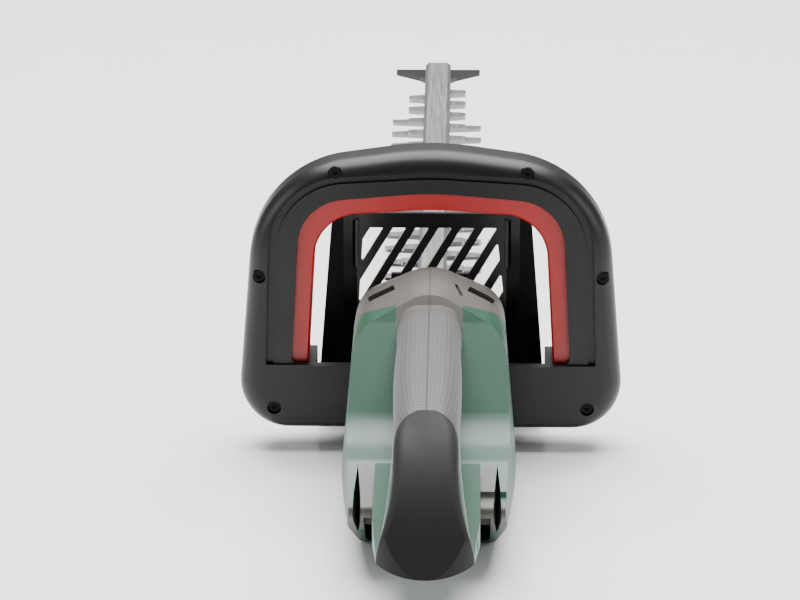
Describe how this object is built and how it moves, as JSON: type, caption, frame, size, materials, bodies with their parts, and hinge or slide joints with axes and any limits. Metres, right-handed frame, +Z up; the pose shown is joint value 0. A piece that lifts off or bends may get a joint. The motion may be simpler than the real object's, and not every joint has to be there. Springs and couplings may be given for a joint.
{
  "type": "hedge trimmer",
  "caption": "Cordless hedge trimmer with a toothed reciprocating blade, slotted hand guard, loop front handle with a squeeze bar, and a D-type rear handle over an open battery bay.",
  "frame": {"origin": "middle of the tool's length and width, on the surface it stands on", "axes": "+X to the tool's right, +Y forward along the blade, +Z up"},
  "size_m": [0.2314, 0.8659, 0.1904],
  "materials": {
    "housing_green": "moulded ABS, satin",
    "cover_grey": "moulded polyamide, fine grain",
    "grip_soft": "soft moulded skin with raised dots",
    "saddle_soft": "soft moulded skin, matt",
    "loop_black": "fine spark-eroded grain",
    "guard_black": "smooth moulded",
    "switch_red": "smooth moulded",
    "trigger_black": "fine grain",
    "blade_steel": "laser cut and ground",
    "beam_alu": "satin extruded",
    "cast_alu": "die cast",
    "fastener_steel": "phosphated",
    "gear_steel": "machined",
    "bush_bronze": "sintered",
    "spring_steel": "drawn wire",
    "inner_plastic": "moulded",
    "board_green": "solder mask",
    "felt": "pressed felt",
    "lead_pvc": "PVC sleeve"
  },
  "bodies": {
    "tool_body": {"battery_rails": "inner_plastic", "bay_trim_left": "cover_grey", "bay_trim_right": "cover_grey", "blade_beam": "beam_alu", "blade_bolts": "fastener_steel", "case_bolts": "fastener_steel", "comb_blade": "blade_steel", "control_board": "board_green", "felt_seal": "felt", "front_microswitch": "inner_plastic", "gear_axle": "fastener_steel", "gear_case": "cast_alu", "gear_case_cover": "cast_alu", "gear_case_screws": "fastener_steel", "grip_left": "grip_soft", "grip_right": "grip_soft", "guard_screws": "fastener_steel", "hand_guard": "guard_black", "housing_left": "housing_green", "housing_right": "housing_green", "housing_screws": "fastener_steel", "loop_foot_screws": "fastener_steel", "loop_screws": "fastener_steel", "loop_shell_front": "loop_black", "loop_shell_rear": "loop_black", "motor_bush_lower": "bush_bronze", "motor_bush_upper": "bush_bronze", "motor_can": "gear_steel", "motor_end_cap": "inner_plastic", "motor_leads": "lead_pvc", "motor_magnets": "gear_steel", "rear_microswitch": "inner_plastic", "rear_saddle": "saddle_soft", "switch_bar_springs": "spring_steel", "terminal_blades": "bush_bronze", "terminal_block": "inner_plastic", "tip_guard": "guard_black", "tip_screw": "fastener_steel", "top_cover_left": "cover_grey", "top_cover_right": "cover_grey", "trigger_pin": "fastener_steel", "trigger_spring": "spring_steel"},
    "cutter": {"cutter_blade": "blade_steel"},
    "front_switch": {"switch_bar": "switch_red"},
    "rear_trigger": {"trigger": "trigger_black"},
    "crank_gear": {"drive_gear": "gear_steel", "crank_disc": "gear_steel"},
    "motor_rotor": {"motor_shaft": "fastener_steel", "armature": "gear_steel", "pinion": "gear_steel", "cooling_fan": "inner_plastic"}
  },
  "joints": [
    {"name": "cutter_slide", "type": "slide", "parent": "tool_body", "child": "cutter", "axis": [0, 1, 0], "range_m": [-0.0045, 0.0115]},
    {"name": "switch_bar_press", "type": "slide", "parent": "tool_body", "child": "front_switch", "axis": [0, 0, 1], "range_m": [0, 0.004], "stiffness_N_per_m": 1500, "springref_m": -0.003, "deforming": ["switch_bar_springs"]},
    {"name": "trigger_press", "type": "hinge", "parent": "tool_body", "child": "rear_trigger", "pos_m": [0, -0.226, 0.097], "axis": [-1, 0, 0], "range_deg": [0, 6], "stiffness_Nm_per_rad": 1.5, "springref_deg": -2.86},
    {"name": "rotor_spin", "type": "hinge", "parent": "tool_body", "child": "motor_rotor", "pos_m": [0, -0.145, 0.03], "axis": [0, 0, 1], "continuous": true},
    {"name": "gear_spin", "type": "hinge", "parent": "tool_body", "child": "crank_gear", "pos_m": [0, -0.115, 0.0685], "axis": [0, 0, 1], "continuous": true}
  ],
  "couplings": [
    {"joint": "gear_spin", "follows": "rotor_spin", "ratio": -0.25}
  ]
}
